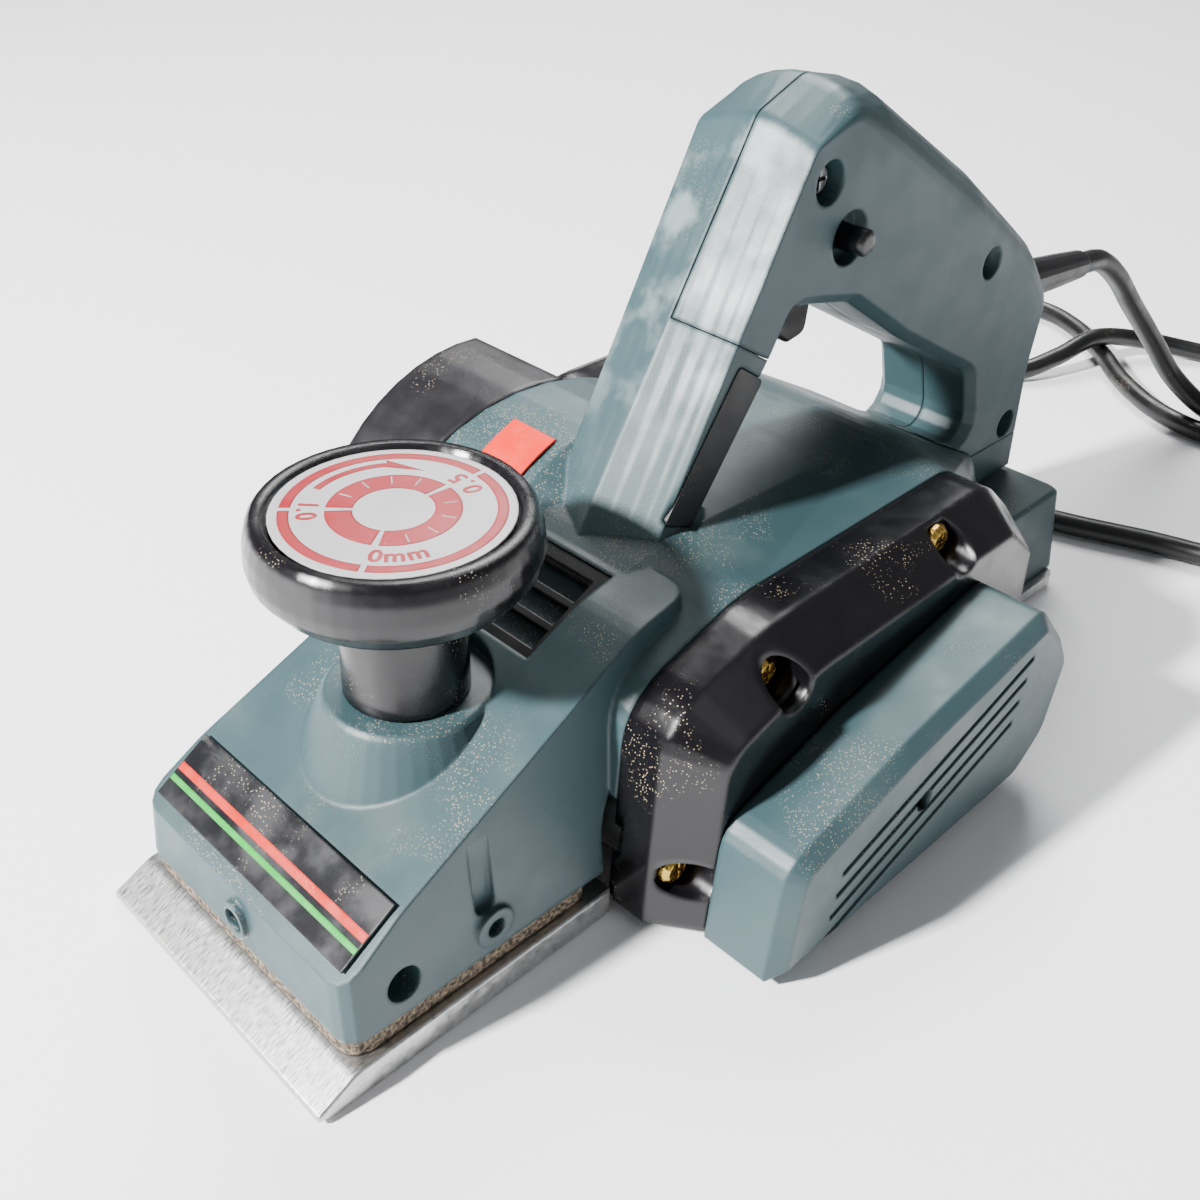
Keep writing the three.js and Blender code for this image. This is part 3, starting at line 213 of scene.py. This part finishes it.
def black_plastic(name="black_plastic", gloss=0.16, shade=(8, 7, 10), grain=0.1, edge=0.0022):
    look = Look(name, edge=edge)
    base = look.mix(look.noise(60, 3), linear(*shade), linear(*(c + 6 for c in shade)))
    dust = look.times(look.specks(1300, 0.26, 50, 0.585), 0.6)
    look.colour(look.mix(dust, base, DUST))
    look.roughness(look.math("ADD", look.span(look.noise(110, 5), 0.35, 0.75, gloss, gloss + 0.14),
                             look.times(dust, 0.4)))
    look.bump(look.math("ADD", look.noise(160, 2), look.times(look.noise(1800, 2), grain)), 0.00025, 0.22)
    return look.material


def metal(name, dark, light, gloss, stretch, scale=500):
    look = Look(name, metallic=1.0)
    streak = look.noise(scale, 5, stretch)
    look.colour(look.mix(streak, linear(*dark), linear(*light)))
    look.roughness(look.span(streak, 0.25, 0.75, gloss - 0.08, gloss + 0.12))
    look.bump(streak, 0.00004, 0.5)
    return look.material


def rough_stuff(name, dark, light, scale, height, gloss=0.9):
    look = Look(name)
    grain = look.noise(scale, 6)
    look.colour(look.mix(look.span(grain, 0.35, 0.68), linear(*dark), linear(*light)))
    look.roughness(look.span(grain, 0.3, 0.7, gloss - 0.06, gloss + 0.06))
    look.bump(grain, height, 0.8)
    return look.material


def print_ink(name, shade, gloss=0.35):
    look = Look(name)
    dull = tuple(c * 0.9 for c in shade)
    wear_and_highlight = look.times(look.specks(1400, 0.28, 60, 0.55), 0.5)
    look.colour(look.mix(wear_and_highlight, look.mix(look.noise(120, 5), linear(*dull), linear(*shade)), DUST))
    look.roughness(look.span(look.noise(200, 4), 0.3, 0.7, gloss - 0.07, gloss + 0.1))
    look.bump(look.noise(900, 2), 0.00002, 0.4)
    return look.material


def badge_label():
    look = Look("badge_label", coat=0.3)
    scratch = look.times(look.span(look.noise(260, 8, (1, 0.22, 1)), 0.6, 0.7),
                         look.span(look.noise(35, 3), 0.5, 0.62), 0.25)
    dust = look.times(look.specks(1300, 0.28, 50, 0.54), 0.6)
    base = look.mix(scratch, linear(17, 17, 21), linear(150, 150, 148))
    look.colour(look.mix(dust, base, DUST))
    look.roughness(look.span(look.noise(80, 6), 0.35, 0.7, 0.22, 0.5))
    look.bump(look.noise(420, 4), 0.00003, 0.5)
    return look.material


LOOKS = {
    "teal_plastic": teal_plastic(),
    "black_plastic": black_plastic(),
    "dark_plastic": black_plastic("dark_plastic", 0.42, (14, 14, 16), 0.6, 0.0005),
    "chute_plastic": black_plastic("chute_plastic", 0.34, (16, 15, 19), 0.5, 0.003),
    "sole_aluminium": metal("sole_aluminium", (150, 150, 150), (222, 222, 220), 0.34, (1, 9, 1)),
    "drum_aluminium": metal("drum_aluminium", (140, 140, 142), (200, 200, 202), 0.36, (1, 1, 9)),
    "steel": metal("steel", (112, 112, 114), (170, 170, 172), 0.32, (1, 1, 1), 900),
    "screw_brass": metal("screw_brass", (146, 108, 40), (236, 200, 104), 0.26, (1, 1, 1), 1400),
    "winding_copper": metal("winding_copper", (120, 52, 24), (205, 112, 62), 0.34, (1, 8, 8), 700),
    "core_steel": metal("core_steel", (66, 66, 70), (120, 120, 124), 0.42, (1, 40, 1), 60),
    "foam": rough_stuff("foam", (40, 34, 28), (138, 122, 100), 900, 0.0009, 0.94),
    "cord_rubber": black_plastic("cord_rubber", 0.32, (10, 10, 11), 0.4, 0.0005),
    "belt_rubber": rough_stuff("belt_rubber", (22, 22, 22), (44, 42, 40), 1500, 0.0001, 0.8),
    "dial_label": print_ink("dial_label", (176, 172, 174)),
    "badge_label": badge_label(),
    "sticker_label": print_ink("sticker_label", (222, 34, 4), 0.45),
}
RED_PRINT = print_ink("red_print", (150, 5, 22))
ORANGE_STRIPE = print_ink("orange_stripe", (200, 36, 8))
GREEN_STRIPE = print_ink("green_stripe", (16, 160, 48))

# Each CAD node gets the look named after its material slot.
# The chip chute has one of its own, duller than the other black parts.
for name, thing in nodes.items():
    for place in thing.material_slots:
        key = (place.material.name if place.material else "").split(".")[0]
        if name == "chip_chute":
            key = "chute_plastic"
        place.link = "OBJECT"
        place.material = LOOKS.get(key, LOOKS["dark_plastic"])


# ---------------------------------------------------------------- pieces
def piece(name, mesh_maker, material, body, smooth=False):
    """A new mesh piece made by mesh_maker(bm), riding on a body."""
    shape = bmesh.new()
    mesh_maker(shape)
    bmesh.ops.recalc_face_normals(shape, faces=shape.faces)
    data = bpy.data.meshes.new(name)
    shape.to_mesh(data)
    shape.free()
    for face in data.polygons:
        face.use_smooth = smooth
    data.materials.append(material)
    made = bpy.data.objects.new(name, data)
    bpy.context.collection.objects.link(made)
    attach(made, body)
    return made


def plate(shape, outline, low, high):
    """A thin closed plate: an outline in x and y, between two heights."""
    bottom = [shape.verts.new((x, y, low)) for x, y in outline]
    top = [shape.verts.new((x, y, high)) for x, y in outline]
    count = len(outline)
    shape.faces.new(bottom[::-1])
    shape.faces.new(top)
    for i in range(count):
        j = (i + 1) % count
        shape.faces.new((bottom[i], bottom[j], top[j], top[i]))


# ---------------------------------------------------------------- cord
CORD_RADIUS = 0.00375
FLOOR_Z = 0.00425  # the height of the cord's middle where it lies on the floor
COIL_TURNS = 5.7  # coil_points takes the nearest number of turns that joins the two ends
COIL_STEPS = 40  # places worked out for each turn, of which every third is kept
COIL_STEP_UP = 0.35  # the part of a turn in which the cord climbs from the low layer to the high one
COIL = {"x": -0.194, "y": 0.116, "rim": 0.0535, "core": 0.0318, "low": 0.0042, "high": 0.0118}
ROUTE = [
    (-0.1436, 0, 0.0824), (-0.158, 0, 0.08), (-0.173, 0.001, 0.071), (-0.188, 0.0025, 0.0575),
    (-0.205, 0.007, 0.04), (-0.218, 0.014, 0.023), (-0.227, 0.026, 0.011), (-0.2325, 0.042, 0.0052),
    (-0.238, 0.0595), (-0.2495, 0.0715), (-0.266, 0.076), (-0.282, 0.0717), (-0.2937, 0.06),
    (-0.2985, 0.042), (-0.299, 0.018), (-0.293, -0.006), (-0.276, -0.026, 0.0084),
    (-0.254, -0.0355, 0.0123), (-0.232, -0.0405, 0.0082), (-0.215, -0.0485), (-0.2025, -0.0656),
    (-0.2006, -0.0873), (-0.2098, -0.107), (-0.2276, -0.1195), (-0.2493, -0.1214), (-0.269, -0.1122),
    (-0.2815, -0.0944), (-0.284, -0.0727), (-0.2764, -0.0545), (-0.26, -0.0335), (-0.239, -0.012),
    (-0.224, 0.012), (-0.2205, 0.037), (-0.227, 0.0615),
]
END_ROUTE = [
    (-0.1375, 0.089, 0.008), (-0.135, 0.073, 0.0048), (-0.13, 0.055), (-0.118, 0.025), (-0.109, -0.014),
    (-0.101, -0.046), (-0.082, -0.075), (-0.046, -0.092),
]


def whole(point):
    return Vector(point) if len(point) == 3 else Vector((point[0], point[1], FLOOR_Z))


def coil_points(start, end):
    """Clockwise from the start's side: inwards on the low layer, then outwards on the high one."""
    first = math.atan2(start.y - COIL["y"], start.x - COIL["x"])
    last = math.atan2(end.y - COIL["y"], end.x - COIL["x"])
    beyond = (first - last) / (2 * math.pi) - COIL_TURNS
    total = COIL_TURNS + beyond - round(beyond)
    half = total / 2
    points = []
    count = int(total * COIL_STEPS)
    for step in range(1, count):
        turn = total * step / count
        angle = first - 2 * math.pi * turn
        depth = turn / half if turn < half else (total - turn) / half
        radius = COIL["rim"] - (COIL["rim"] - COIL["core"]) * min(1, depth)
        rise = min(1, max(0, (turn - half) / COIL_STEP_UP + 0.5))
        rise = rise * rise * (3 - 2 * rise)
        height = COIL["low"] + (COIL["high"] - COIL["low"]) * rise
        points.append(Vector((COIL["x"] + radius * math.cos(angle),
                              COIL["y"] + radius * math.sin(angle), height)))
    return points


def smooth_line(points, per_span=8):
    """A centripetal curve through the points, as closely spaced points."""
    padded = [2 * points[0] - points[1]] + points + [2 * points[-1] - points[-2]]
    line = [points[0]]
    for i in range(1, len(padded) - 2):
        p = padded[i - 1:i + 3]
        t = [0.0]
        for a, b in zip(p, p[1:]):
            t.append(t[-1] + max(1e-9, (b - a).length ** 0.5))
        for step in range(1, per_span + 1):
            s = t[1] + (t[2] - t[1]) * step / per_span
            a = [p[k] * ((t[k + 1] - s) / (t[k + 1] - t[k])) + p[k + 1] * ((s - t[k]) / (t[k + 1] - t[k]))
                 for k in range(3)]
            b = [a[k] * ((t[k + 2] - s) / (t[k + 2] - t[k])) + a[k + 1] * ((s - t[k]) / (t[k + 2] - t[k]))
                 for k in range(2)]
            line.append(b[0] * ((t[2] - s) / (t[2] - t[1])) + b[1] * ((s - t[1]) / (t[2] - t[1])))
    return line


def cord_curve():
    route = [whole(p) for p in ROUTE]
    end = [whole(p) for p in END_ROUTE]
    wound = coil_points(route[-1], end[0])
    line = smooth_line(route + wound[2:-2:3] + end)
    data = bpy.data.curves.new("mains_cord", "CURVE")
    data.dimensions = "3D"
    data.bevel_depth = CORD_RADIUS
    data.bevel_resolution = 4
    data.use_fill_caps = True
    spline = data.splines.new("POLY")
    spline.points.add(len(line) - 1)
    for point, place in zip(spline.points, line):
        point.co = (*place, 1)
    spline.use_smooth = True
    data.materials.append(LOOKS["cord_rubber"])
    made = bpy.data.objects.new("mains_cord", data)
    bpy.context.collection.objects.link(made)
    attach(made, "housing")
    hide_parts("cord", "cord_coil", "cord_end")
    return made, sum((b - a).length for a, b in zip(line, line[1:]))


cord, cord_length = cord_curve()

TIE_ANGLE = math.radians(200)
TIE_REACH = 0.0427  # from the coil's centre to the middle of its bundle of turns
TIE_HALF_WIDE, TIE_LOW, TIE_HIGH, TIE_CORNER = 0.0152, 0.0001, 0.0158, 0.0045
TIE_HALF_BAND, TIE_THICK = 0.003, 0.0006
TIE_LOWEST = 0.00002


def tie_loop(offset):
    """A rounded rectangle round the bundle of turns, moved outwards by offset and kept above the floor."""
    side, top, bottom = TIE_HALF_WIDE - TIE_CORNER, TIE_HIGH - TIE_CORNER, TIE_LOW + TIE_CORNER
    corners = ((side, top, 0), (-side, top, 90), (-side, bottom, 180), (side, bottom, 270))
    radius = TIE_CORNER + offset
    points = []
    for across, height, start in corners:
        for step in range(6):
            angle = math.radians(start + 18 * step)
            points.append((across + radius * math.cos(angle),
                           max(TIE_LOWEST, height + radius * math.sin(angle))))
    return points


def tie(shape):
    """A band round the bundle of turns, on the side away from the planer."""
    out = Vector((math.cos(TIE_ANGLE), math.sin(TIE_ANGLE), 0))
    along = Vector((-math.sin(TIE_ANGLE), math.cos(TIE_ANGLE), 0))
    middle = Vector((COIL["x"], COIL["y"], 0)) + out * TIE_REACH
    rings = []
    for offset, side in ((0, -TIE_HALF_BAND), (0, TIE_HALF_BAND), (TIE_THICK, TIE_HALF_BAND),
                         (TIE_THICK, -TIE_HALF_BAND)):
        rings.append([shape.verts.new(middle + out * a + along * side + Vector((0, 0, b)))
                      for a, b in tie_loop(offset)])
    count = len(rings[0])
    for first, second in zip(rings, rings[1:] + rings[:1]):
        for i in range(count):
            j = (i + 1) % count
            shape.faces.new((first[i], first[j], second[j], second[i]))


cord_tie = piece("cord_tie", tie, LOOKS["dark_plastic"], "housing", smooth=True)

# ---------------------------------------------------------------- dial face
DIAL_CENTRE = Vector((0.1387, 0, 0))
DIAL_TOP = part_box("knob_dial")[1].z
INK_LOW, INK_HIGH = DIAL_TOP - 0.00002, DIAL_TOP + 0.00006
MARKS = (37.2, 179.2, 318.0)  # where the bands break for 0, 0.5 and 1.0, in degrees
OUTER_BAND, OUTER_GAP = (0.0206, 0.0229), 1.6
INNER_BAND, INNER_GAP = (0.0082, 0.0137), 3
TICKS_BETWEEN_MARKS, TICK_HALF_WIDE, TICK_REACH = 4, 0.00016, (0.0100, 0.0130)
GLYPH_SIZE, GLYPH_FOOT = 0.0056, 0.0191
GLYPHS = (("0", 41.0), ("m", 53.0), ("m", 67.5), ("0", 165.0), (".", 174.0), ("5", 183.0),
          ("1", 312.5), (".", 319.0), ("0", 327.0))


def polar(radius, degrees):
    angle = math.radians(degrees)
    return (DIAL_CENTRE.x + radius * math.cos(angle), DIAL_CENTRE.y + radius * math.sin(angle))


def arc_band(shape, inner, outer, start, end):
    steps = max(3, int((end - start) / 4))
    turns = [start + (end - start) * i / steps for i in range(steps + 1)]
    outline = [polar(outer, a) for a in turns] + [polar(inner, a) for a in reversed(turns)]
    plate(shape, outline, INK_LOW, INK_HIGH)


def dial_bands(shape):
    """The outer and the inner red bands, each broken at the three marks."""
    for start, end in zip(MARKS, MARKS[1:] + (MARKS[0] + 360,)):
        arc_band(shape, *OUTER_BAND, start + OUTER_GAP, end - OUTER_GAP)
        arc_band(shape, *INNER_BAND, start + INNER_GAP, end - INNER_GAP)


def dial_arrow(shape):
    """A clockwise arrow between the two bands."""
    turns = [-68 - 55 * i / 14 for i in range(15)]
    head = [polar(0.0203, -122.5), polar(0.0163, -150), polar(0.0172, -122.5)]
    outline = [polar(0.0190, a) for a in turns] + head
    outline += [polar(0.0174, a) for a in reversed(turns[:-1])]
    plate(shape, outline, INK_LOW, INK_HIGH)


def dial_ticks(shape):
    """Pale lines on the inner band that divide each half millimetre into five."""
    for start, end in zip(MARKS, MARKS[1:]):
        for number in range(1, TICKS_BETWEEN_MARKS + 1):
            middle = start + (end - start) * number / (TICKS_BETWEEN_MARKS + 1)
            side = Vector(polar(1, middle + 90)) - Vector(polar(0, 0))
            side = side.normalized() * TICK_HALF_WIDE
            near, far = (Vector(polar(radius, middle)) for radius in TICK_REACH)
            plate(shape, [near - side, far - side, far + side, near + side], INK_LOW, INK_HIGH + 0.00004)


def dial_figures(shape):
    """Numbers on the dial, each glyph's foot towards the rim and reading counter-clockwise."""
    for number, (glyph, angle) in enumerate(GLYPHS):
        data = bpy.data.curves.new(f"glyph_{number}", "FONT")
        data.body = glyph
        data.size = GLYPH_SIZE
        data.extrude = 0.00004
        data.offset = 0.00014
        data.align_x = "CENTER"
        text = bpy.data.objects.new(f"glyph_{number}", data)
        bpy.context.collection.objects.link(text)
        bpy.context.view_layer.update()
        flat = bpy.data.meshes.new_from_object(text.evaluated_get(bpy.context.evaluated_depsgraph_get()))
        x, y = polar(GLYPH_FOOT, angle)
        turn = Matrix.Rotation(math.radians(angle + 90), 4, "Z")
        flat.transform(Matrix.Translation((x, y, DIAL_TOP + 0.00003)) @ turn)
        shape.from_mesh(flat)
        bpy.data.objects.remove(text)
        bpy.data.meshes.remove(flat)


piece("dial_bands", dial_bands, RED_PRINT, "knob")
piece("dial_arrow", dial_arrow, RED_PRINT, "knob")
piece("dial_ticks", dial_ticks, LOOKS["dial_label"], "knob")
piece("dial_figures", dial_figures, RED_PRINT, "knob")


# ---------------------------------------------------------------- badge stripes
BADGE_LEAN = math.radians(33)
BADGE_MIDDLE = Vector((0.1767, 0, 0.0343))
BADGE_TOP = 0.0008
STRIPE_HALF_LENGTH = 0.0348


def stripe(along_from, along_to):
    """A band across the badge, placed down its slope from its middle."""
    def maker(shape):
        half = STRIPE_HALF_LENGTH
        plate(shape, [(along_from, -half), (along_to, -half), (along_to, half), (along_from, half)],
              BADGE_TOP - 0.00003, BADGE_TOP + 0.00006)
        turn = Matrix.Translation(BADGE_MIDDLE) @ Matrix.Rotation(BADGE_LEAN, 4, "Y")
        bmesh.ops.transform(shape, matrix=turn, verts=shape.verts)
    return maker


piece("badge_stripe_upper", stripe(-0.0006, 0.0014), ORANGE_STRIPE, "housing")
piece("badge_stripe_lower", stripe(0.0027, 0.0041), GREEN_STRIPE, "housing")


def pressed(node, name, material_slot):
    """The node's own shape as a separate piece riding on the housing, with the node itself hidden."""
    data = nodes[node].data.copy()
    data.materials.clear()
    data.materials.append(LOOKS[material_slot])
    made = bpy.data.objects.new(name, data)
    bpy.context.collection.objects.link(made)
    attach(made, "housing")
    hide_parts(node)
    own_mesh(made)
    return made


pressed("nose_seal", "foam_seal", "foam")
pressed("depth_spring", "return_spring", "steel")


# ---------------------------------------------------------------- floor and light
def floor():
    shape = bmesh.new()
    bmesh.ops.create_grid(shape, x_segments=1, y_segments=1, size=4)
    data = bpy.data.meshes.new("floor")
    shape.to_mesh(data)
    shape.free()
    look = Look("floor", roughness=0.55)
    look.colour(look.mix(look.noise(3, 2), linear(250, 250, 252), linear(254, 254, 255)))
    data.materials.append(look.material)
    made = bpy.data.objects.new("floor", data)
    bpy.context.collection.objects.link(made)
    made.location.z = -0.0002


def area_light(name, place, aim, size, power):
    data = bpy.data.lights.new(name, "AREA")
    data.size = size
    data.energy = power
    made = bpy.data.objects.new(name, data)
    turn = (Vector(aim) - Vector(place)).to_track_quat("-Z", "Y").to_matrix().to_4x4()
    made.matrix_world = Matrix.Translation(place) @ turn
    bpy.context.collection.objects.link(made)


floor()
area_light("key", (1.35, -0.34, 0.98), (0.05, 0, 0.03), 0.13, 118)
area_light("back", (-0.9, -0.8, 1.5), (0, 0, 0.05), 0.9, 46)
area_light("fill", (0.3, 1.2, 1.4), (0.02, 0, 0.05), 1.0, 2)

world = bpy.data.worlds.new("world")
world.use_nodes = True
backdrop = next(n for n in world.node_tree.nodes if n.type == "BACKGROUND")
backdrop.inputs["Color"].default_value = (0.95, 0.96, 1, 1)
backdrop.inputs["Strength"].default_value = 0.24
bpy.context.scene.world = world
